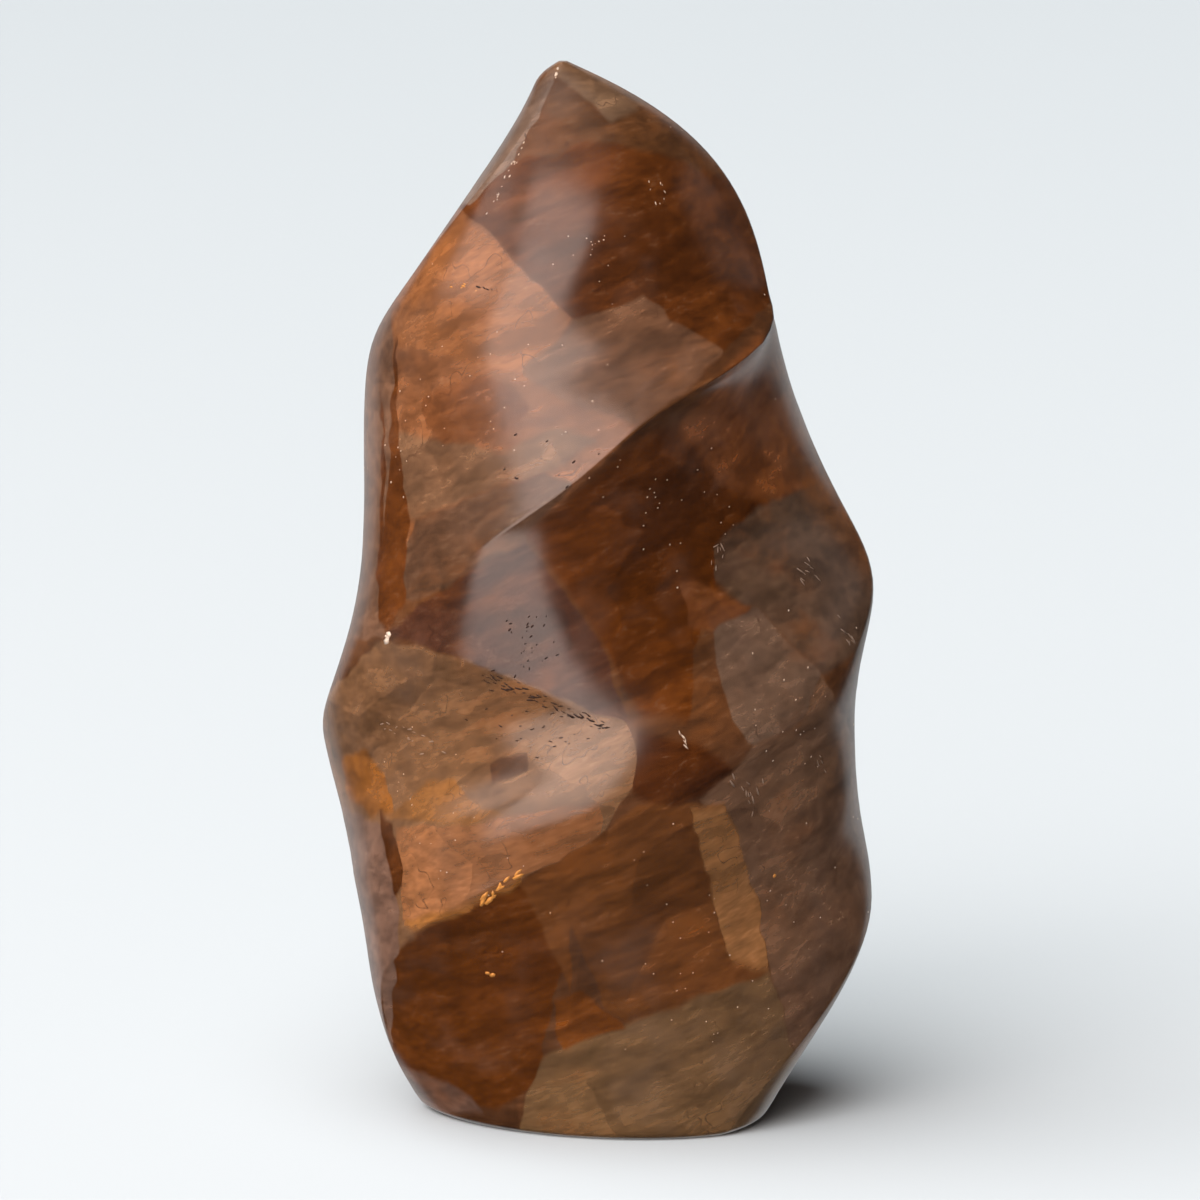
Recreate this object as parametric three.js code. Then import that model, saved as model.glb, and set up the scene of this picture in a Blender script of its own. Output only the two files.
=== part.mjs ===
// A free-standing carved flame of golden healer quartz, ground and polished from one stone.
// Three ridges climb from the flat sawn foot to the blunt tip and wind more than half way
// round the stone, with a belly between each two of them. Every level cut through it is a
// rounded triangle with its corners on the ridges, and the solid is the skin through those
// levels. Millimetres, +Z up, the side with the long curled ridge towards -Y, the origin in
// the middle of the foot.
import * as THREE from "three";

// driving dimensions
const height = 119; // foot to tip
const footBevel = 0.9; // worn edge round the sawn foot
const stepsBetweenLines = 11; // section points from one line to the next
const crowding = 1.5; // 1 spaces the points evenly, more crowds them towards the ridges
const levelGap = 2.2; // usual distance between levels

// How far the stone reaches to each side of the middle of its foot: [height, reach].
const outline = {
  left: [
    [0, 19.8],
    [8, 23.6],
    [18, 26.0],
    [30, 28.4],
    [37, 30.2],
    [43.2, 31.3],
    [49, 30.0],
    [57, 27.6],
    [68, 26.4],
    [82, 26.3],
    [88, 25.1],
    [94.7, 21.2],
    [106, 13.4],
    [116, 7.3],
    [118, 5.9],
    [119, 4.4],
  ],
  right: [
    [0, 18.9],
    [8, 23.7],
    [16.5, 28.8],
    [23.5, 31.1],
    [32, 30.1],
    [43, 29.1],
    [53.6, 30.0],
    [60.5, 31.1],
    [68, 27.9],
    [81, 22.1],
    [92, 19.4],
    [100, 17.4],
    [106, 14.4],
    [112, 8.8],
    [117, 0.8],
    [119, -3.4],
  ],
  front: [
    [0, 21.6],
    [12, 24.6],
    [25, 26.6],
    [39, 27.4],
    [50, 25.8],
    [60, 24.6],
    [74, 24.4],
    [88, 20.9],
    [102, 15.2],
    [112, 8.8],
    [119, 1],
  ],
  back: [
    [0, 16],
    [12, 21],
    [25, 24],
    [42, 25],
    [60, 25],
    [74, 24],
    [88, 21],
    [102, 15.6],
    [112, 8.8],
    [119, 1],
  ],
};

// The lines that run up the stone, in order to the left round it: [height, turn, reach, edge].
// The turn is in degrees, 0 at the right and 90 at the front. The reach is 1 on the ridges and
// less on the bellies between them. The edge runs from 0 for a soft line to 1 for a crisp one.
const lines = {
  // right edge in the upper half, then across the lower front and down to the left of the foot
  lowerCurl: [
    [0, 178, 1, 0.4],
    [8, 163, 1, 0.4],
    [14, 155, 1, 0.6],
    [20, 142, 1, 0.9],
    [26.5, 125, 1, 1.0],
    [31.5, 108, 1, 1.0],
    [37, 89, 1, 1.0],
    [42, 66, 1, 0.7],
    [48, 43, 1, 0.3],
    [55, 18, 1, 0.3],
    [61, 0, 1, 0.4],
    [70, -14, 1, 0.5],
    [82, -25, 1, 0.6],
    [92, -30, 1, 0.6],
    [105, -34, 1, 0.5],
    [119, -36, 1, 0.0],
  ],
  // belly of the long face, a soft shoulder down the middle of the front
  frontShoulder: [
    [0, 234, 0.82, 0.0],
    [14, 210, 0.87, 0.0],
    [24, 182, 0.89, 0.0],
    [31, 154, 0.92, 0.0],
    [37, 126, 0.95, 0.0],
    [43, 102, 0.98, 0.1],
    [50, 90, 0.99, 0.4],
    [58, 90, 0.98, 0.4],
    [65, 88, 0.92, 0.2],
    [71, 70, 0.83, 0.0],
    [78, 43, 0.78, 0.0],
    [86, 14, 0.82, 0.0],
    [94, -10, 0.94, 0.0],
    [106, -18, 0.97, 0.0],
    [119, -21, 0.98, 0.0],
  ],
  // right edge at the top, then the long crisp curl across the upper front, lost in a
  // soft shoulder on the left
  upperCurl: [
    [0, 290, 1, 0.3],
    [14, 262, 1, 0.3],
    [28, 226, 1, 0.3],
    [42, 187, 1, 0.0],
    [55, 146, 1, 0.0],
    [62, 129, 1, 0.2],
    [66, 119, 1, 0.7],
    [72, 101, 1, 1.0],
    [78, 84, 1, 1.0],
    [84, 64, 1, 1.0],
    [88.5, 37, 1, 1.0],
    [92.5, 17, 1, 1.0],
    [97, 5, 1, 0.8],
    [104, -2, 1, 0.5],
    [112, -4, 1, 0.5],
    [119, -5, 1, 0.0],
  ],
  // belly of the upper face, then of the left side and the back
  leftBelly: [
    [0, 354, 0.85, 0.0],
    [14, 323, 0.88, 0.0],
    [30, 280, 0.88, 0.0],
    [46, 230, 0.9, 0.0],
    [60, 191, 0.88, 0.0],
    [74, 158, 0.86, 0.0],
    [86, 124, 0.89, 0.0],
    [98, 92, 0.9, 0.0],
    [108, 73, 0.88, 0.0],
    [119, 55, 0.9, 0.0],
  ],
  // crisp edge down the left of the tip, then round the back to the lower right corner
  tipEdge: [
    [0, 410, 1, 0.4],
    [8, 397, 1, 0.4],
    [16, 379, 1, 0.3],
    [25, 358, 1, 0.2],
    [34, 325, 1, 0.3],
    [46, 286, 1, 0.6],
    [60, 252, 1, 0.6],
    [74, 222, 1, 0.6],
    [85, 197, 1, 0.5],
    [92, 177, 1, 0.6],
    [98, 165, 1, 1.0],
    [108, 146, 1, 1.0],
    [114, 132, 1, 1.0],
    [119, 114, 1, 0.4],
  ],
  // belly of the back of the tip, then round the right side to the front of the foot
  rightBelly: [
    [0, 474, 0.84, 0.0],
    [12, 452, 0.83, 0.0],
    [25, 422, 0.84, 0.0],
    [34, 391, 0.9, 0.0],
    [46, 348, 0.92, 0.0],
    [60, 307, 0.9, 0.0],
    [74, 281, 0.88, 0.0],
    [85, 264, 0.88, 0.0],
    [98, 246, 0.85, 0.0],
    [119, 218, 0.85, 0.0],
  ],
};

// The curvatures of the natural cubic spline through one column of a table that starts with
// the height, one for each row.
function curvatures(table, column) {
  const count = table.length;
  const bend = new Array(count).fill(0);
  const sweep = new Array(count).fill(0);
  for (let i = 1; i < count - 1; i++) {
    const [z0, z1, z2] = [i - 1, i, i + 1].map((k) => table[k][0]);
    const [v0, v1, v2] = [i - 1, i, i + 1].map((k) => table[k][column]);
    const share = (z1 - z0) / (z2 - z0);
    const pivot = share * sweep[i - 1] + 2;
    const kink = (v2 - v1) / (z2 - z1) - (v1 - v0) / (z1 - z0);
    sweep[i] = (share - 1) / pivot;
    bend[i] = ((6 * kink) / (z2 - z0) - share * bend[i - 1]) / pivot;
  }
  for (let i = count - 2; i >= 0; i--) bend[i] += sweep[i] * bend[i + 1];
  return bend;
}

const splines = new Map();

// A smooth value of one column at height z.
function at(table, z, column) {
  if (!splines.has(table)) splines.set(table, []);
  const known = splines.get(table);
  known[column] ??= curvatures(table, column);
  const bend = known[column];
  let i = 0;
  while (i < table.length - 2 && z > table[i + 1][0]) i++;
  const span = table[i + 1][0] - table[i][0];
  const above = THREE.MathUtils.clamp((z - table[i][0]) / span, 0, 1);
  const below = 1 - above;
  const curve = (share, value) => (share ** 3 - share) * value;
  return (
    below * table[i][column] +
    above * table[i + 1][column] +
    ((curve(below, bend[i]) + curve(above, bend[i + 1])) * span ** 2) / 6
  );
}

function onCircle(radius, degrees) {
  const turn = THREE.MathUtils.degToRad(degrees);
  return new THREE.Vector2(radius * Math.cos(turn), -radius * Math.sin(turn));
}

// The direction in which a round arc leaves `from`, when it reaches `to` along `heading`.
function arcStart(from, to, heading) {
  const chord = to.clone().sub(from).normalize();
  return chord.multiplyScalar(2 * heading.dot(chord)).sub(heading);
}

// The shape of one level, about 1 in radius: a closed row of points that passes each line
// with its own edge.
function section(z) {
  const knots = Object.values(lines).map((line) => ({
    point: onCircle(at(line, z, 2), at(line, z, 1)),
    edge: at(line, z, 3),
  }));
  const count = knots.length;
  knots.forEach((knot, i) => {
    const before = knots[(i + count - 1) % count].point;
    const after = knots[(i + 1) % count].point;
    knot.heading = after.clone().sub(before).normalize();
  });
  knots.forEach((knot, i) => {
    const before = knots[(i + count - 1) % count];
    const after = knots[(i + 1) % count];
    const arriving = arcStart(knot.point, before.point, before.heading.clone().negate());
    const leaving = arcStart(knot.point, after.point, after.heading);
    knot.arrive = knot.heading.clone().lerp(arriving.negate(), knot.edge).normalize();
    knot.leave = knot.heading.clone().lerp(leaving, knot.edge).normalize();
  });
  const points = [];
  knots.forEach((knot, i) => {
    const next = knots[(i + 1) % count];
    const handle = knot.point.distanceTo(next.point) / 3;
    const arc = new THREE.CubicBezierCurve(
      knot.point,
      knot.point.clone().addScaledVector(knot.leave, handle),
      next.point.clone().addScaledVector(next.arrive, -handle),
      next.point,
    );
    for (let k = 0; k < stepsBetweenLines; k++) {
      const share = k / stepsBetweenLines;
      const leavesRidge = i % 2 === 0;
      const along = leavesRidge ? share ** crowding : 1 - (1 - share) ** crowding;
      points.push(arc.getPoint(along));
    }
  });
  return points;
}

// One level of the stone: its shape drawn out to the outlines at the left and the right,
// with the front and the back half each as deep as their own outline makes them.
function level(z) {
  const points = section(z);
  const across = points.map((p) => p.x);
  const [least, most] = [Math.min(...across), Math.max(...across)];
  const reach = (side) => at(outline[side], z, 1);
  return points.map((p) => {
    const x = THREE.MathUtils.mapLinear(p.x, least, most, -reach("left"), reach("right"));
    const y = THREE.MathUtils.mapLinear(p.y, -1, 1, -reach("front"), reach("back"));
    return new THREE.Vector2(x, y);
  });
}

// Levels from the foot up: close together at the foot's worn edge and at the tip.
function levels() {
  const list = [];
  const footRound = [1, 0.45, 0.12, 0]; // share of the bevel still missing at each step
  footRound.forEach((missing, k) => {
    list.push({ z: (footBevel * k) / (footRound.length - 1), inset: footBevel * missing });
  });
  const taperStart = height - 8;
  const plain = Math.round((taperStart - footBevel) / levelGap);
  for (let k = 1; k <= plain; k++) {
    list.push({ z: footBevel + ((taperStart - footBevel) * k) / plain, inset: 0 });
  }
  for (const below of [6.2, 4.6, 3.2, 2.1, 1.2, 0.6, 0.2, 0]) {
    list.push({ z: height - below, inset: 0 });
  }
  return list;
}

function skin() {
  const rows = levels().map(({ z, inset }) => {
    const points = level(z);
    const middle = points
      .reduce((sum, p) => sum.add(p), new THREE.Vector2())
      .divideScalar(points.length);
    return points.map((p) => {
      const out = p.clone().sub(middle);
      const shrunk = out.multiplyScalar(1 - inset / out.length()).add(middle);
      return new THREE.Vector3(shrunk.x, shrunk.y, z);
    });
  });
  const round = rows[0].length;
  const positions = rows.flat().flatMap((p) => [p.x, p.y, p.z]);
  const faces = [];
  for (let row = 0; row + 1 < rows.length; row++) {
    for (let k = 0; k < round; k++) {
      const a = row * round + k;
      const b = row * round + ((k + 1) % round);
      const rises = rows[row][k].distanceTo(rows[row + 1][(k + 1) % round]);
      const falls = rows[row][(k + 1) % round].distanceTo(rows[row + 1][k]);
      if (rises < falls) faces.push(a, a + round, b + round, a, b + round, b);
      else faces.push(a, a + round, b, b, a + round, b + round);
    }
  }
  const close = (row, z, up) => {
    const middle = rows[row]
      .reduce((sum, p) => sum.add(p), new THREE.Vector3())
      .divideScalar(round);
    const centre = positions.length / 3;
    positions.push(middle.x, middle.y, z);
    for (let k = 0; k < round; k++) {
      const a = row * round + k;
      const b = row * round + ((k + 1) % round);
      faces.push(...(up ? [a, centre, b] : [b, centre, a]));
    }
  };
  close(0, 0, false);
  close(rows.length - 1, height, true);
  const geometry = new THREE.BufferGeometry();
  geometry.setAttribute("position", new THREE.Float32BufferAttribute(positions, 3));
  geometry.setIndex(faces);
  geometry.computeVertexNormals();
  return geometry;
}

const goldenQuartz = new THREE.MeshStandardMaterial({
  name: "golden_quartz",
  color: 0x7a4a24,
  roughness: 0.08,
  metalness: 0,
});

const flame = new THREE.Group();
const stone = new THREE.Mesh(skin(), goldenQuartz);
stone.name = "quartz_flame";
flame.add(stone);

export default flame;
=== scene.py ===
# Golden healer quartz flame: the looks of the polished stone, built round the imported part.
import bpy
import math
import random
from mathutils import Matrix, Vector


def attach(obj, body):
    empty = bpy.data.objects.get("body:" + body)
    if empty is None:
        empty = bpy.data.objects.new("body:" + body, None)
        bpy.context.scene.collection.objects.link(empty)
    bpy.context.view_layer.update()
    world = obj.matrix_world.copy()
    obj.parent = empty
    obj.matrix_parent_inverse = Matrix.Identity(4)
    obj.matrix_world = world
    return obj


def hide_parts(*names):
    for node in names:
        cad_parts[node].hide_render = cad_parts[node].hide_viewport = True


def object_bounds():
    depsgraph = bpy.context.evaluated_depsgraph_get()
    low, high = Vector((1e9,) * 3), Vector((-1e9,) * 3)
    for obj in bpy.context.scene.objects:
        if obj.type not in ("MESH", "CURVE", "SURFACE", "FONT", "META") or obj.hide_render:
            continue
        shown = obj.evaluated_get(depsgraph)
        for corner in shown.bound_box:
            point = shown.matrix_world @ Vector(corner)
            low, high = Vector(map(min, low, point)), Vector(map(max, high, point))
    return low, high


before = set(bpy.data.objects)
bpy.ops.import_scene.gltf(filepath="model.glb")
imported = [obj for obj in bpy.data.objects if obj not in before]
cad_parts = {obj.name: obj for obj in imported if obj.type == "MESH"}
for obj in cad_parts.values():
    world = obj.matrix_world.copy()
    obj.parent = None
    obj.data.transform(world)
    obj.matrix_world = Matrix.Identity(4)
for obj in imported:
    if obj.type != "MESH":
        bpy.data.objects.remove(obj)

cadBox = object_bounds()
mm = 0.001
print("frame loaded:", sorted(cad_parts))


view = {
    "elevation": 10.0,  # degrees that the camera looks down
    "distance": 0.753,  # m
    "frameWidth": 0.13572,  # m that the picture is wide at the middle of the stone
    "aim": (0.00023, 0.0, 0.05800),
    "sensor": 36.0,  # mm
}


def addCamera():
    slope = math.radians(view["elevation"])
    back = Vector((0, -math.cos(slope), math.sin(slope)))
    place = Vector(view["aim"]) + back * view["distance"]
    bpy.ops.object.camera_add(location=place, rotation=(math.pi / 2 - slope, 0, 0))
    camera = bpy.context.object
    camera.name = "photoView"
    camera.data.sensor_width = view["sensor"]
    camera.data.lens = view["sensor"] * view["distance"] / view["frameWidth"]
    bpy.context.scene.camera = camera


class Value:
    # what a node gives out; an expression on values adds its Math nodes
    def __init__(self, shade, socket):
        self.shade = shade
        self.socket = socket

    def math(self, operation, first, second):
        return self.shade.node("ShaderNodeMath", {"operation": operation}, {0: first, 1: second})

    def __add__(self, other):
        return self.math("ADD", self, other)

    def __radd__(self, other):
        return self.math("ADD", other, self)

    def __sub__(self, other):
        return self.math("SUBTRACT", self, other)

    def __rsub__(self, other):
        return self.math("SUBTRACT", other, self)

    def __mul__(self, other):
        return self.math("MULTIPLY", self, other)

    def __rmul__(self, other):
        return self.math("MULTIPLY", other, self)

    def __truediv__(self, other):
        return self.math("DIVIDE", self, other)

    def least(self, other):
        return self.math("MINIMUM", self, other)

    def size(self):
        return self.math("ABSOLUTE", self, 0.0)


class Shade:
    # one material and the nodes that are added to it
    def __init__(self, name):
        self.material = bpy.data.materials.new(name)
        self.material.use_nodes = True
        self.tree = self.material.node_tree
        self.tree.nodes.clear()

    def node(self, kind, settings=None, sockets=None, output=0):
        made = self.tree.nodes.new(kind)
        for name, value in (settings or {}).items():
            if name == "stops":
                ramp = made.color_ramp.elements
                while len(ramp) < len(value):
                    ramp.new(0.5)
                for stop, (place, colour) in zip(ramp, value):
                    stop.position = place
                    stop.color = colour
            elif name == "points":
                made.mapping.extend = "HORIZONTAL"
                curve = made.mapping.curves[0]
                while len(curve.points) < len(value):
                    curve.points.new(0.5, 0.5)
                for point, place in zip(curve.points, value):
                    point.location = place
                    point.handle_type = "VECTOR"
                made.mapping.update()
            else:
                setattr(made, name, value)
        for name, value in (sockets or {}).items():
            if isinstance(value, Value):
                self.tree.links.new(value.socket, made.inputs[name])
            else:
                made.inputs[name].default_value = value
        return Value(self, made.outputs[output]) if len(made.outputs) else made

    def mix(self, share, first, second):
        sockets = {0: share, 6: first, 7: second}
        return self.node("ShaderNodeMix", {"data_type": "RGBA"}, sockets, output=2)

    def times(self, colour, second):
        settings = {"data_type": "RGBA", "blend_type": "MULTIPLY"}
        return self.node("ShaderNodeMix", settings, {0: 1.0, 6: colour, 7: second}, output=2)

    def vector(self, operation, first, second):
        return self.node("ShaderNodeVectorMath", {"operation": operation}, {0: first, 1: second})

    def join(self, x, y, z):
        return self.node("ShaderNodeCombineXYZ", None, {0: x, 1: y, 2: z})

    def part(self, vector, index):
        return self.node("ShaderNodeSeparateXYZ", None, {0: vector}, output=index)

    def spread(self, value, low, high, start=0.0, end=1.0):
        settings = {"interpolation_type": "SMOOTHSTEP"}
        sockets = {"Value": value, 1: low, 2: high, 3: start, 4: end}
        return self.node("ShaderNodeMapRange", settings, sockets)

    def grain(self, place, scale, detail=3.0, roughness=0.55, output=0):
        # noise, a number from output 0 and a vector of three from output 1
        sockets = {"Vector": place, "Scale": scale, "Detail": detail, "Roughness": roughness}
        return self.node("ShaderNodeTexNoise", None, sockets, output)

    def cells(self, place):
        # three numbers by lot for each cell
        return self.node("ShaderNodeTexVoronoi", None, {"Vector": place, "Scale": 1.0}, output=1)

    def turned(self, place, angles, size):
        # place in units of size, turned by angles in degrees
        sockets = {"Vector": place, "Rotation": [math.radians(a) for a in angles], "Scale": size}
        return self.node("ShaderNodeMapping", {"vector_type": "TEXTURE"}, sockets)


def paint(red, green, blue):
    # a screen colour, 0 to 255, as Blender's linear colour
    def linear(c):
        c = c / 255
        return c / 12.92 if c < 0.04045 else ((c + 0.055) / 1.055) ** 2.4
    return (linear(red), linear(green), linear(blue), 1.0)


stone = {
    "glassShare": 0.5,
    "refraction": 1.544,
    "depthTint": (0.62, 0.43, 0.20, 1.0),
    "depthDensity": 240.0,
    "roughness": 0.21,
    "dullness": 0.05,  # added where the clouds are thick
    "ripple": 0.3,  # mm of slow waves in the polish
    "edgeWander": 1.6,  # mm that the edges of the patches wander
    "frontDepth": 5.0,  # mm before and behind the middle over which front and sides blend
    "blockTurn": (0, -24, 12),  # degrees, the cleavage planes climb to the right
    "blockSize": (15.0, 15.0, 8.0),  # mm
    "streakTurn": (0, -22, 0),
    "streakSize": (11.0, 5.0, 2.2),
    "dustSize": (3.0, 1.0, 0.7),
    "streakDark": 0.68,
    "streakLight": 1.32,
    "blockDark": 0.84,
    "blockLight": 1.16,
    "dustDark": 0.86,
    "dustLight": 1.16,
    "milk": (140, 118, 104),
    "milkShare": 0.16,
    "glow": (158, 88, 32),
    "glowShare": 0.35,
    "thread": (206, 164, 128),
    "threadShare": 0.14,
    "crack": (52, 24, 10),
    "crackShare": 0.5,
    "frontTone": (104, 64, 36),
    "sideTones": [(0.0, (92, 48, 20)), (0.2, (122, 73, 40)), (0.4, (148, 96, 56)),
                  (0.55, (126, 94, 71)), (0.72, (166, 104, 53)), (0.88, (132, 82, 45)),
                  (1.0, (140, 110, 88))],
}

crease = {
    "line": [(-23.4, 53.8), (-16.4, 51.7), (-6.4, 48.0), (3.1, 44.1)],  # mm, right and height
    "rise": 0.4,
    "reach": 3.2,
    "fadeIn": 0.1,  # share of the line over which it rises at its left end
    "fadeOut": 0.2,
    "finest": 0.06,  # faces are cut finer where more than this share of the rise is left
    "front": -5.0,  # only in front of this depth
}

# The part of the front that the patches are drawn in, in mm, right of the middle and height.
field = {"left": -35.0, "width": 70.0, "low": -10.0, "height": 135.0}

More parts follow.
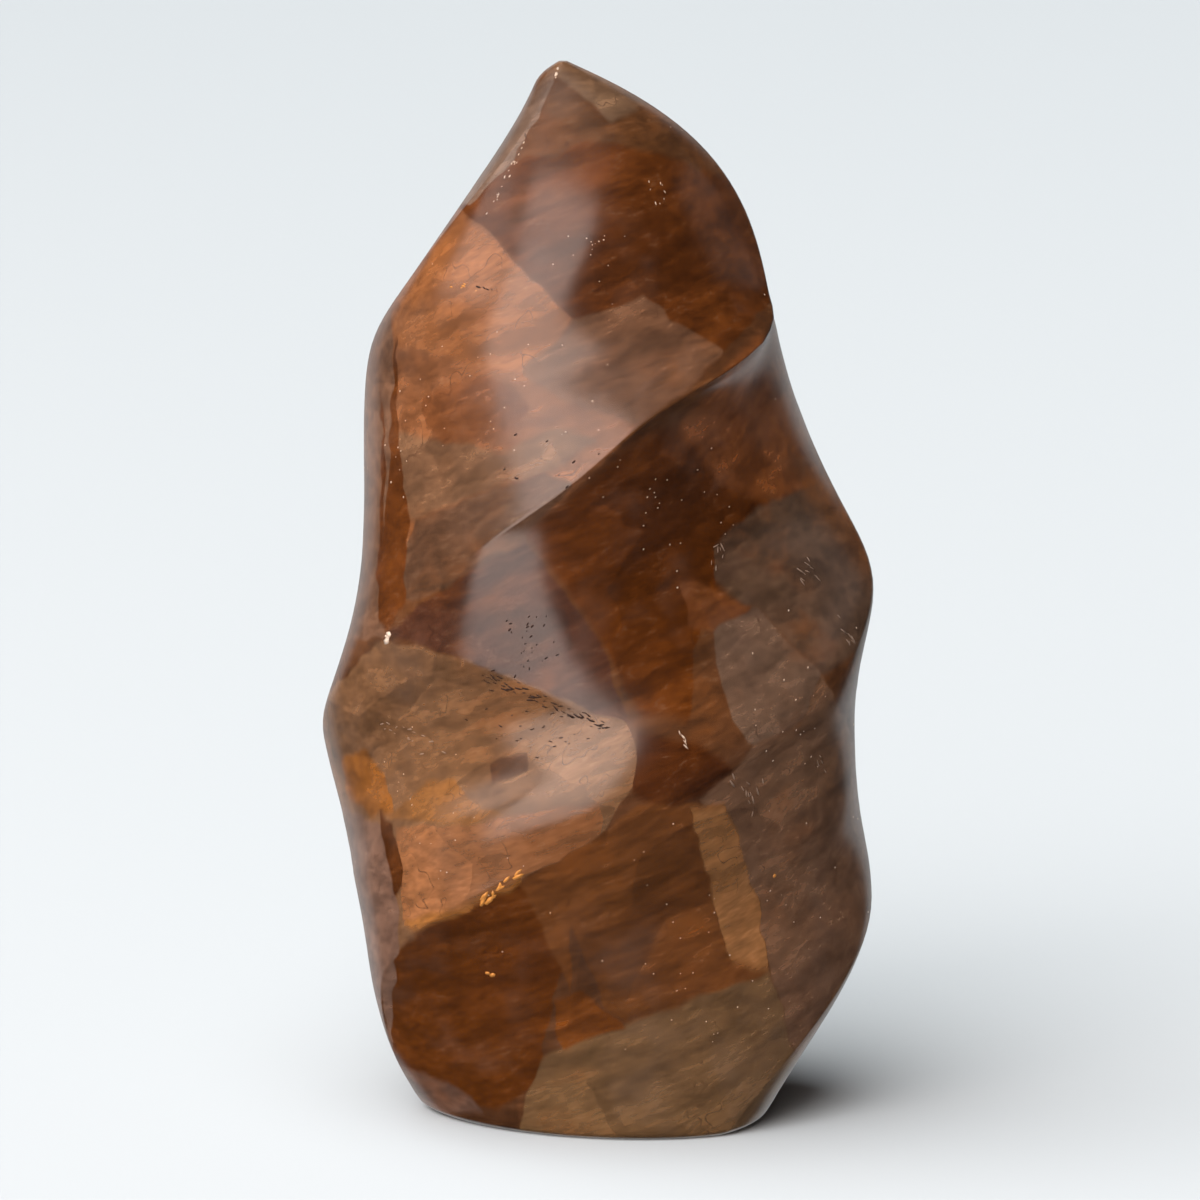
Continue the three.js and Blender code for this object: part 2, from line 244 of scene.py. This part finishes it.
# Most patches are cleavage planes and iron-stained veils just under the front of the stone; two
# pale strips on the left carry a painted reflection and a thin band along the crease is a painted
# highlight.
# Outlines are in mm, right of the middle and height, as they look from the front.
patches = [
    # name, screen colour, softness of the edge in mm, outline
    ("goldenFace", (148, 93, 57), 1.2, [(-15.9, 102.9), (-2.5, 89.0), (4.6, 88.1), (13.9, 85.7),
        (4.6, 77.4), (-4.1, 68.5), (-12.9, 61.3), (-21.9, 58.0), (-24.3, 67.1), (-23.9, 92.2)]),
    ("tanBlock", (132, 94, 66), 1.0, [(-22.9, 77.0), (-10.7, 74.5), (-4.1, 76.9), (0.2, 75.7),
        (-4.6, 72.6), (-12.7, 70.0), (-20.3, 66.8), (-22.2, 67.0)]),
    ("greyBlock", (104, 72, 51), 0.8, [(-20.3, 66.8), (-12.7, 70.0), (-5.7, 72.4), (-2.5, 70.7),
        (-8.5, 64.1), (-14.0, 60.8), (-19.6, 58.0), (-22.8, 58.0)]),
    ("goldWedge", (158, 98, 56), 0.8, [(-15.0, 101.0), (-2.5, 89.0), (-4.2, 85.6), (-10.8, 83.4),
        (-18.6, 85.8), (-22.6, 86.8), (-23.1, 92.2)]),
    ("brownBand", (128, 88, 62), 1.0, [(-2.5, 89.0), (5.3, 92.2), (8.4, 89.3), (13.9, 85.7),
        (10.1, 82.0), (4.6, 77.5), (-4.2, 80.2), (-8.6, 83.6)]),
    ("lozenge", (128, 76, 42), 1.2, [(-19.6, 80.7), (-17.4, 82.0), (-12.5, 82.9), (-9.4, 82.3),
        (-7.4, 79.3), (-8.8, 76.9), (-12.1, 75.7), (-17.2, 75.9), (-19.2, 77.5)]),
    ("darkUpper", (102, 54, 20), 0.5, [(-16.0, 102.9), (-10.2, 107.5), (-4.9, 107.5),
        (-0.9, 109.8), (15.3, 106.8), (19.8, 96.2), (19.5, 92.2), (13.9, 85.7), (8.4, 89.3),
        (5.3, 92.2), (-2.5, 89.0)]),
    ("valley", (86, 50, 33), 0.8, [(-23.3, 54.6), (-18.5, 58.2), (-13.1, 61.6), (-8.1, 64.7),
        (0.2, 53.5), (3.5, 44.0), (-6.4, 47.8), (-16.4, 51.7)]),
    ("centreDark", (100, 51, 13), 2.0, [(-8.1, 65.1), (-4.1, 68.2), (3.0, 74.9), (10.1, 78.1),
        (15.8, 76.1), (20.3, 67.1), (16.9, 60.8), (11.3, 58.0), (10.1, 44.6), (4.6, 45.5),
        (0.2, 53.5), (-4.1, 60.2)]),
    ("redBrownRight", (144, 82, 40), 2.5, [(17.9, 87.8), (22.7, 83.1), (26.1, 74.0), (22.7, 69.4),
        (14.7, 70.4), (9.0, 77.0), (13.4, 82.6)]),
    ("smokyRight", (100, 74, 56), 1.0, [(12.8, 64.2), (18.1, 68.8), (26.4, 71.8), (31.9, 62.6),
        (32.5, 58.0), (29.4, 52.3), (25.1, 49.5), (17.1, 57.2), (12.6, 60.2)]),
    ("paleFacet", (118, 90, 71), 0.6, [(12.8, 54.5), (17.1, 57.2), (25.1, 49.5), (22.5, 44.4),
        (17.5, 41.5), (15.1, 44.1), (13.6, 49.1)]),
    ("redWedge", (126, 72, 36), 0.8, [(9.0, 59.7), (11.3, 60.2), (17.1, 57.2), (12.8, 54.5),
        (9.9, 55.1)]),
    ("rightLower", (132, 94, 68), 0.8, [(11.2, 35.7), (17.5, 41.7), (22.5, 44.4), (25.1, 49.5),
        (31.9, 53.4), (30.0, 39.5), (32.7, 23.3), (28.8, 11.6), (23.0, 4.2), (19.1, 16.1),
        (17.7, 24.3), (14.7, 31.6)]),
    ("bulge", (138, 97, 64), 0.6, [(-31.5, 46.5), (-23.5, 53.8), (-16.4, 51.7), (-6.4, 48.0),
        (3.1, 44.1), (4.6, 38.4), (0.8, 32.3), (-8.5, 26.6), (-19.3, 20.4), (-23.9, 13.6),
        (-28.3, 23.3)]),
    # the thin band along the crease: a painted highlight line over the stone's orange
    ("creasePaintedHighlight", (178, 118, 80), 0.4, [(-23.6, 54.3), (-16.4, 52.2), (-6.4, 48.5), (3.6, 44.4),
        (-6.4, 47.9), (-16.4, 51.6), (-23.2, 53.6)]),
    ("amberPatch", (162, 98, 36), 1.0, [(-29.1, 39.8), (-26.1, 40.9), (-23.7, 38.3), (-22.6, 34.0),
        (-25.3, 33.4), (-28.6, 36.0)]),
    ("amberBlock", (160, 104, 64), 0.6, [(-22.5, 32.5), (-16.3, 32.7), (-9.6, 33.9), (0.2, 35.8),
        (0.8, 32.3), (-8.5, 26.6), (-19.3, 20.4), (-21.7, 21.6)]),
    ("amberBand", (162, 106, 55), 0.8, [(-23.4, 33.5), (-18.8, 37.7), (-16.0, 37.7), (-14.1, 35.6),
        (-10.1, 33.9), (-16.3, 32.8)]),
    ("goldEdge", (172, 110, 50), 1.2, [(-21.5, 21.6), (-13.0, 24.4), (-8.3, 27.2), (-8.1, 26.3),
        (-13.0, 22.7), (-19.3, 20.1)]),
    ("darkWindow", (100, 66, 43), 0.5, [(-12.2, 40.0), (-8.0, 41.0), (-7.9, 38.7), (-11.8, 37.8)]),
    ("seam", (82, 40, 10), 1.5, [(4.2, 43.3), (11.2, 42.0), (14.7, 39.2), (11.2, 35.9),
        (7.5, 34.4), (3.7, 36.7)]),
    ("amberFoot", (108, 55, 8), 1.0, [(-23.7, 17.1), (-20.8, 20.1), (-8.5, 26.3), (-3.0, 22.5),
        (-3.9, 16.8), (-4.9, 13.5), (-5.8, 9.1), (-6.7, 3.1), (-11.0, -0.1), (-23.4, 2.2)]),
    ("brownFoot", (122, 71, 30), 0.8, [(-8.5, 26.3), (0.8, 32.3), (4.6, 35.1), (11.4, 35.0),
        (14.1, 35.6), (17.7, 24.3), (19.1, 16.1), (11.4, 12.3), (5.0, 9.1), (0.8, 12.0),
        (-3.0, 13.5), (-4.2, 16.8), (-3.0, 22.5)]),
    ("tanRight", (168, 114, 66), 1.5, [(10.1, 34.3), (14.1, 35.4), (17.7, 24.3), (19.0, 16.3),
        (14.7, 17.3), (13.1, 24.2), (11.3, 30.0)]),
    ("paleFoot", (132, 97, 62), 1.0, [(-6.5, 5.9), (-3.9, 7.6), (0.8, 9.6), (10.1, 12.4),
        (19.0, 16.1), (22.9, 4.2), (18.6, -4.9), (4.8, -6.1), (-9.5, -4.9), (-7.6, 2.4)]),
    ("rustFoot", (128, 69, 19), 0.8, [(-5.1, 12.4), (-2.0, 14.0), (3.3, 9.9), (-0.9, 8.3),
        (-4.2, 7.3)]),
    ("wornCorner", (120, 88, 72), 1.0, [(-23.6, 4.5), (-16.8, 3.3), (-12.8, -0.4), (-19.8, -1.6)]),
    # the strip along the left edge: stone tone paled by a painted reflection
    ("leftStripPaintedReflection", (128, 90, 66), 0.5, [(-27.8, 88.8), (-23.1, 92.2), (-22.7, 78.3), (-21.5, 67.0),
        (-21.7, 58.0), (-23.5, 53.8), (-29.2, 53.4), (-28.5, 69.5)]),
    ("orangeSeam", (108, 58, 22), 1.0, [(-24.0, 92.2), (-22.5, 90.9), (-22.2, 78.3), (-21.0, 67.0),
        (-21.2, 58.0), (-23.3, 54.4), (-24.7, 55.7), (-23.8, 64.8), (-24.1, 78.4)]),
    ("lowerLeftStrip", (132, 98, 80), 0.6, [(-30.5, 34.9), (-23.9, 32.4), (-22.0, 21.2),
        (-24.0, 13.5), (-23.6, 4.5), (-25.0, 4.5), (-28.3, 23.3)]),
    ("tipAmber", (104, 66, 38), 1.2, [(-4.4, 117.1), (0.2, 112.4), (5.8, 114.0), (14.2, 108.2),
        (15.3, 105.9), (4.6, 108.5), (-1.3, 109.6), (-5.9, 113.4)]),
    ("tipCap", (134, 102, 76), 1.0, [(-6.5, 120.3), (-2.6, 119.7), (5.8, 114.0), (1.3, 112.0),
        (-4.0, 116.7), (-5.1, 117.9)]),
    # the strip left of the tip: stone tone paled by a painted reflection
    ("tipLeftPaintedReflection", (128, 100, 82), 0.3, [(-4.8, 118.9), (-4.7, 116.9), (-6.4, 112.9), (-10.0, 106.9),
        (-14.2, 102.5), (-16.0, 102.9), (-10.9, 111.3)]),
    ("leftCrack", (94, 50, 18), 1.0, [(-24.4, 33.9), (-23.1, 32.9), (-22.1, 29.8), (-21.8, 25.9),
        (-22.6, 24.1), (-23.4, 27.2), (-24.1, 30.2)]),
]


def addStone():
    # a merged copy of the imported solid, so that it can be cut finer
    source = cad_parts["quartz_flame"]
    bpy.ops.object.select_all(action="DESELECT")
    body = source.copy()
    body.data = source.data.copy()
    body.name = "flameStone"
    body.parent = None
    bpy.context.collection.objects.link(body)
    body.select_set(True)
    bpy.context.view_layer.objects.active = body
    bpy.ops.object.mode_set(mode="EDIT")
    bpy.ops.mesh.select_all(action="SELECT")
    bpy.ops.mesh.remove_doubles(threshold=0.00001)
    bpy.ops.object.mode_set(mode="OBJECT")
    raiseCrease(body)
    bpy.ops.object.shade_smooth_by_angle(angle=math.radians(50))
    return body


def creaseShare(x, w):
    # 1 on the crease, less away from it and towards its ends
    line = crease["line"]
    best = 0.0
    total = len(line) - 1
    for step in range(total):
        start, end = Vector(line[step]), Vector(line[step + 1])
        run = end - start
        share = max(0.0, min(1.0, (Vector((x, w)) - start).dot(run) / run.length_squared))
        away = (Vector((x, w)) - start - run * share).length
        along = (step + share) / total
        fade = max(0.0, min(1.0, along / crease["fadeIn"], (1 - along) / crease["fadeOut"]))
        best = max(best, math.exp(-away / crease["reach"]) * fade)
    return best


def pickFaces(mesh, wanted):
    # goes to edit mode with just the faces selected whose middles, in mm, are wanted
    bpy.ops.object.mode_set(mode="EDIT")
    bpy.ops.mesh.select_mode(type="FACE")
    bpy.ops.mesh.select_all(action="DESELECT")
    bpy.ops.object.mode_set(mode="OBJECT")
    for face in mesh.polygons:
        face.select = wanted(*(face.center / mm))
    bpy.ops.object.mode_set(mode="EDIT")


def raiseCrease(body):
    # finer, rounder faces above the foot, and the worn edge over the lower bulge as a low ridge
    lift = math.tan(math.radians(view["elevation"]))
    mesh = body.data

    def riseShare(x, y, z):
        return creaseShare(x, z + y * lift) if y < crease["front"] else 0.0

    pickFaces(mesh, lambda x, y, z: z > 0.5)
    bpy.ops.mesh.subdivide(number_cuts=1, smoothness=1.0)
    bpy.ops.object.mode_set(mode="OBJECT")
    pickFaces(mesh, lambda x, y, z: riseShare(x, y, z) > crease["finest"])
    bpy.ops.mesh.subdivide(number_cuts=1, smoothness=1.0)
    bpy.ops.mesh.select_all(action="SELECT")
    bpy.ops.mesh.quads_convert_to_tris()
    bpy.ops.object.mode_set(mode="OBJECT")
    normals = [vertex.normal.copy() for vertex in mesh.vertices]
    for vertex, normal in zip(mesh.vertices, normals):
        vertex.co += normal * riseShare(*(vertex.co / mm)) * crease["rise"] * mm
        for axis in range(3):  # the foot stays flat and the tip as high as it was
            vertex.co[axis] = max(cadBox[0][axis], min(cadBox[1][axis], vertex.co[axis]))


def frontPlace(shade, place):
    # right and height as the front of the stone is seen, 0 to 1 over the field of the patches
    lift = math.tan(math.radians(view["elevation"]))
    x = shade.part(place, 0)
    w = shade.part(place, 2) + shade.part(place, 1) * lift
    return (x - field["left"]) / field["width"], (w - field["low"]) / field["height"]


def patchMask(shade, x, w, outline, soft):
    # a closed outline becomes an upper and a lower curve over its width
    left = min(range(len(outline)), key=lambda i: outline[i][0])
    ring = outline[left:] + outline[:left]
    right = max(range(len(ring)), key=lambda i: ring[i][0])
    chains = [ring[:right + 1], ring[right:] + ring[:1]]
    chains.sort(key=lambda chain: sum(b for a, b in chain) / len(chain))
    curves = []
    for chain, shut in zip(chains, (field["low"] + field["height"], field["low"])):
        chain = sorted(chain)
        chain = [(chain[0][0] - 0.1, shut)] + chain + [(chain[-1][0] + 0.1, shut)]
        points = [((a - field["left"]) / field["width"], (b - field["low"]) / field["height"])
                  for a, b in chain]
        curves.append(shade.node("ShaderNodeFloatCurve", {"points": points}, {"Value": x}))
    lower, upper = curves
    half = soft / 2 / field["height"]
    return shade.spread((w - lower).least(upper - w), -half, half)


def stoneTones(shade, place, moved, block):
    # the drawn patches in front, cells of the same tones on the sides and at the back
    side = shade.node("ShaderNodeValToRGB", {"stops": [
        (stop, paint(*tone)) for stop, tone in stone["sideTones"]]}, {0: shade.part(block, 0)})
    front = paint(*stone["frontTone"])
    x, w = frontPlace(shade, moved)
    for name, tone, soft, outline in patches:
        front = shade.mix(patchMask(shade, x, w, outline, soft), front, paint(*tone))
    facing = shade.spread(shade.part(place, 1), stone["frontDepth"], -stone["frontDepth"])
    return shade.mix(facing, side, front)


def quartz():
    shade = Shade("goldenQuartz")
    look = stone
    place = shade.vector("MULTIPLY", shade.node("ShaderNodeTexCoord", output=3), (1000, 1000, 1000))
    wander = shade.grain(place, 0.28, detail=1.0, roughness=0.6, output=1)
    moved = shade.vector("ADD", place, shade.vector("MULTIPLY", wander, (look["edgeWander"],) * 3))
    moved = shade.vector("SUBTRACT", moved, (look["edgeWander"] / 2,) * 3)
    block = shade.cells(shade.turned(moved, look["blockTurn"], look["blockSize"]))
    colour = stoneTones(shade, place, moved, block)

    # each block a little lighter or darker, with streaks along it and fine dust
    tilt = shade.turned(moved, look["streakTurn"], look["streakSize"])
    streak = shade.grain(tilt, 1.0, detail=4.0, roughness=0.62)
    cloud = shade.grain(moved, 0.07, roughness=0.65)
    fine = shade.turned(place, look["streakTurn"], look["dustSize"])
    dust = shade.grain(fine, 1.0, detail=1.0, roughness=0.7)
    light = shade.spread(streak, 0.3, 0.7, look["streakDark"], look["streakLight"])
    lot = shade.part(block, 1)
    light = light * shade.spread(lot, 0.0, 1.0, look["blockDark"], look["blockLight"])
    light = light * shade.spread(dust, 0.25, 0.75, look["dustDark"], look["dustLight"])
    colour = shade.times(colour, shade.join(light, light, light))

    # milky and golden clouds, then fine pale threads and dark healed cracks
    haze = shade.spread(cloud, 0.5, 0.72, 0.0, look["milkShare"])
    colour = shade.mix(haze, colour, paint(*look["milk"]))
    glow = shade.spread(cloud, 0.48, 0.3) * shade.spread(streak, 0.35, 0.65)
    colour = shade.mix(glow * look["glowShare"], colour, paint(*look["glow"]))
    thread = shade.spread((streak - 0.56).size(), 0.01, 0.0) * shade.spread(dust, 0.45, 0.6)
    colour = shade.mix(thread * look["threadShare"], colour, paint(*look["thread"]))
    split = shade.spread((cloud - 0.52).size(), 0.004, 0.0) * shade.spread(streak, 0.42, 0.6)
    colour = shade.mix(split * look["crackShare"], colour, paint(*look["crack"]))

    height = shade.grain(place, 0.08, detail=1.0) * look["ripple"]
    relief = shade.node("ShaderNodeBump", None, {"Strength": 0.5, "Distance": mm, "Height": height})
    dull = look["roughness"] + look["dullness"]
    skin = shade.node("ShaderNodeBsdfPrincipled", None, {
        "Base Color": colour,
        "Roughness": shade.spread(cloud, 0.3, 0.7, look["roughness"], dull),
        "IOR": look["refraction"],
        "Transmission Weight": look["glassShare"],
        "Normal": relief,
    })
    depth = shade.node("ShaderNodeVolumeAbsorption", None, {
        "Color": look["depthTint"],
        "Density": look["depthDensity"],
    })
    shade.node("ShaderNodeOutputMaterial", None, {"Surface": skin, "Volume": depth})
    return shade.material


# Small marks let into the polish, each a flattened grain lying on the surface. A cluster has
# its middle or its line of [right, height] on the front and its spread, in mm, the number of
# its grains, their half length and half width in mm, and how far they lean in degrees.
spots = {
    "openPits": {
        "tone": (46, 24, 14), "roughness": 0.7,
        "clusters": [
            ([(-7.9, 53.4)], (3.4, 5.0), 30, 0.22, 0.10, 60),
            ([(-12.6, 49.3), (1.0, 43.6)], (0.9, 0.9), 60, 0.45, 0.10, -22),
            ([(-7.0, 43.4)], (5.0, 3.6), 24, 0.26, 0.08, 10),
            ([(-13.6, 93.1), (-10.6, 92.4)], (0.2, 0.1), 6, 0.35, 0.10, -14),
            ([(-12.0, 71.0), (2.0, 76.0)], (5.0, 4.0), 9, 0.25, 0.12, 30),
        ],
    },
    # real chips along the edges, and tiny white specks that stand for glints: painted highlights
    "whiteChips": {
        "tone": (206, 184, 164), "roughness": 0.35,
        "clusters": [
            ([(-23.4, 53.8)], (0.3, 0.4), 4, 0.50, 0.35, 20),
            ([(-7.9, 109.9), (-12.6, 100.4)], (0.3, 0.3), 22, 0.16, 0.07, 64),
            ([(-4.6, 117.6)], (0.3, 0.5), 5, 0.24, 0.12, 70),
            ([(-1.1, 96.4)], (5.0, 4.0), 16, 0.09, 0.07, 0),
            ([(7.1, 103.4)], (1.4, 1.8), 8, 0.20, 0.05, 100),
            ([(8.5, 68.6)], (9.0, 7.0), 26, 0.11, 0.05, 35),
            ([(9.0, 43.4), (10.0, 41.2)], (0.2, 0.3), 7, 0.36, 0.06, -62),
            ([(-22.4, 74.4)], (2.0, 9.0), 10, 0.12, 0.08, 80),
            ([(11.3, 19.7)], (14.0, 14.0), 36, 0.09, 0.07, 20),
            ([(22.3, 46.8)], (8.0, 18.0), 26, 0.13, 0.06, 55),
            ([(-20.0, 36.0)], (9.0, 12.0), 20, 0.08, 0.06, 15),
            ([(-18.6, 80.4), (0.0, 84.0)], (5.0, 9.0), 24, 0.08, 0.06, 20),
        ],
    },
    "goldChips": {
        "tone": (206, 136, 62), "roughness": 0.3,
        "clusters": [
            ([(-13.0, 23.9), (-8.3, 27.8)], (0.4, 0.4), 14, 0.75, 0.26, 48),
            ([(19.6, 26.9)], (0.1, 0.1), 1, 0.55, 0.50, 0),
            ([(-11.9, 16.0)], (0.4, 0.3), 2, 0.35, 0.25, 0),
            ([(-14.9, 93.2)], (1.5, 0.8), 5, 0.30, 0.12, 10),
        ],
    },
    "milkStreaks": {
        "tone": (140, 118, 102), "roughness": 0.3,
        "clusters": [
            ([(13.1, 61.5), (13.7, 65.0)], (1.0, 0.6), 7, 0.50, 0.07, 78),
            ([(22.6, 63.0), (25.0, 58.5)], (1.4, 0.9), 11, 0.55, 0.08, -58),
            ([(27.0, 56.0), (28.4, 52.9)], (0.8, 0.6), 7, 0.50, 0.08, -62),
            ([(16.1, 37.6), (17.6, 33.6)], (1.6, 1.4), 12, 0.55, 0.09, -64),
            ([(24.4, 39.9), (25.0, 38.5)], (0.8, 0.8), 5, 0.40, 0.08, -60),
            ([(-24.4, 44.0), (-17.0, 41.5)], (1.8, 1.4), 16, 0.35, 0.07, 8),
        ],
    },
}
allRound = {
    # white specks on the sides and the back that stand for glints: painted highlights
    "number": 150, "length": 0.09, "width": 0.07,
    "turns": (-0.4, math.pi + 0.4), "heights": (3, 112), "leans": (0, 90),
}
mark = {
    "thickness": 0.07,  # mm, half
    "sink": 0.02,  # mm that its middle lies under the surface
    "sizes": (0.5, 1.3),
    "leanSpread": 18,  # degrees
    "wornScale": 900.0,
    "wornTone": 0.7,
}
outside = 80  # mm, well clear of the stone


def frontHit(body, x, w):
    # where the line of sight at x and height w in mm meets the stone
    slope = math.radians(view["elevation"])
    start = Vector((x, -outside, w + outside * math.tan(slope))) * mm
    sight = Vector((0, math.cos(slope), -math.sin(slope)))
    found, place, normal, face = body.ray_cast(start, sight)
    return (place, normal) if found else None


def sideHit(body, turn, height):
    # the same for a level line towards the axis of the stone
    out = Vector((math.cos(turn), math.sin(turn), 0))
    start = out * outside * mm + Vector((0, 0, height * mm))
    found, place, normal, face = body.ray_cast(start, -out)
    return (place, normal) if found else None


def addGrain(hit, length, width, lean):
    # one flattened grain, its long side turned by lean degrees from level
    place, normal = hit
    level = Vector((0, 0, 1)).cross(normal)
    if level.length < 0.1:  # almost flat ground, where level has no direction
        return
    level.normalize()
    along = Matrix.Rotation(math.radians(lean), 3, normal) @ level
    turn = Matrix((along, normal.cross(along), normal)).transposed()
    bpy.ops.mesh.primitive_ico_sphere_add(subdivisions=1, radius=mm, rotation=turn.to_euler(),
                                          location=place - normal * mark["sink"] * mm,
                                          scale=(length, width, mark["thickness"]))


def wornLook(name, look):
    shade = Shade(name)
    worn = shade.grain(shade.node("ShaderNodeTexCoord", output=3), mark["wornScale"])
    tone = paint(*look["tone"])
    dark = [c * mark["wornTone"] for c in tone[:3]] + [1.0]
    skin = shade.node("ShaderNodeBsdfPrincipled", None, {
        "Base Color": shade.mix(shade.spread(worn, 0.35, 0.65), dark, tone),
        "Roughness": look["roughness"],
    })
    shade.node("ShaderNodeOutputMaterial", None, {"Surface": skin})
    return shade.material


def addSpots(name, look, body):
    picked = random.Random(name)
    bpy.ops.object.select_all(action="DESELECT")
    bpy.ops.object.add(type="MESH", location=(0, 0, 0))
    piece = bpy.context.object
    piece.name = name
    bpy.ops.object.mode_set(mode="EDIT")
    for line, spread, number, length, width, lean in look["clusters"]:
        start, end = line[0], line[-1]
        for step in range(number):
            share = picked.random()
            x = start[0] + (end[0] - start[0]) * share + picked.gauss(0, 0.5) * spread[0]
            w = start[1] + (end[1] - start[1]) * share + picked.gauss(0, 0.5) * spread[1]
            hit = frontHit(body, x, w)
            if hit:
                size = picked.uniform(*mark["sizes"])
                leaning = lean + picked.gauss(0, mark["leanSpread"])
                addGrain(hit, length * size, width * size, leaning)
    # the painted glints: tiny white specks scattered over the sides and the back
    if name == "whiteChips":
        for step in range(allRound["number"]):
            turn = picked.uniform(*allRound["turns"])
            hit = sideHit(body, turn, picked.uniform(*allRound["heights"]))
            if hit:
                size = picked.uniform(*mark["sizes"])
                addGrain(hit, allRound["length"] * size, allRound["width"] * size,
                         picked.uniform(*allRound["leans"]))
    bpy.ops.object.mode_set(mode="OBJECT")
    bpy.ops.object.shade_smooth()
    piece.data.materials.append(wornLook(name + "Look", look))
    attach(piece, "root")
    print(name, "finished:", len(piece.data.polygons), "faces")


studio = {
    "floor": (0.495, 0.53, 0.55, 1.0),
    "floorSize": 14,  # m
    "warmth": (1.0, 0.86, 0.80),  # colour of the softboxes
    "centre": (0, 0, 0.06),  # what they stand round, in m
    "air": 0.02,  # what the polish sees where no lamp stands
    "softboxes": [
        # name, degrees left of the front, degrees up, distance, width and height in m, watts
        ("frontBox", 25, 17, 2.4, 2.25, 3.1, 86.0),
        ("sideStrip", 82, 34, 1.2, 0.8, 0.3, 1.5),
        ("rimStrip", -108, 25, 1.5, 0.8, 0.3, 0.25),
    ],
    "skies": [
        # name, strength, degrees across, degrees left of the front, degrees up, seen by
        ("softSky", 4.9, 80, 60, 62, "colour"),
        ("paleGround", 0.7, 84, 180, -10, "polish"),  # the pale rim where the stone turns away
    ],
}


def lampDirection(left, up):
    left, up = math.radians(left), math.radians(up)
    return Vector((-math.sin(left) * math.cos(up), -math.cos(left) * math.cos(up), math.sin(up)))


def addLamp(name, kind, place, towards):
    # shines back along towards
    bpy.ops.object.light_add(type=kind, location=place,
                             rotation=towards.to_track_quat("Z", "Y").to_euler())
    lamp = bpy.context.object
    lamp.name = name
    return lamp


def addStudio():
    bpy.ops.object.select_all(action="DESELECT")
    bpy.ops.mesh.primitive_plane_add(size=studio["floorSize"], location=(0, 0, 0))
    floor = bpy.context.object
    floor.name = "studioFloor"
    floor.visible_glossy = False
    shade = Shade("paleFloor")
    skin = shade.node("ShaderNodeBsdfPrincipled", None,
                      {"Base Color": studio["floor"], "Roughness": 0.9, "Specular IOR Level": 0.0})
    shade.node("ShaderNodeOutputMaterial", None, {"Surface": skin})
    floor.data.materials.append(shade.material)
    for name, left, up, distance, width, height, watts in studio["softboxes"]:
        towards = lampDirection(left, up)
        lamp = addLamp(name, "AREA", Vector(studio["centre"]) + towards * distance, towards)
        lamp.data.shape = "RECTANGLE"
        lamp.data.size = width
        lamp.data.size_y = height
        lamp.data.energy = watts
        lamp.data.color = studio["warmth"]
        lamp.visible_camera = False
    for name, strength, spread, left, up, seenBy in studio["skies"]:
        towards = lampDirection(left, up)
        lamp = addLamp(name, "SUN", towards, towards)
        lamp.data.energy = strength
        lamp.data.angle = math.radians(spread)
        lamp.visible_glossy = seenBy == "polish"
        lamp.visible_diffuse = seenBy == "colour"
        lamp.visible_transmission = seenBy == "colour"
    world = bpy.data.worlds.new("studioAir")
    world.use_nodes = True
    world.node_tree.nodes["Background"].inputs["Color"].default_value = (studio["air"],) * 3 + (1,)
    bpy.context.scene.world = world
    bpy.context.scene.view_settings.view_transform = "Standard"


addCamera()
addStudio()
print("camera, floor and lamps placed")

body = addStone()
body.data.materials.clear()
body.data.materials.append(quartz())
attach(body, "root")
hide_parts("quartz_flame")
print("stone finished:", len(body.data.polygons), "faces")

for name, look in spots.items():
    addSpots(name, look, body)
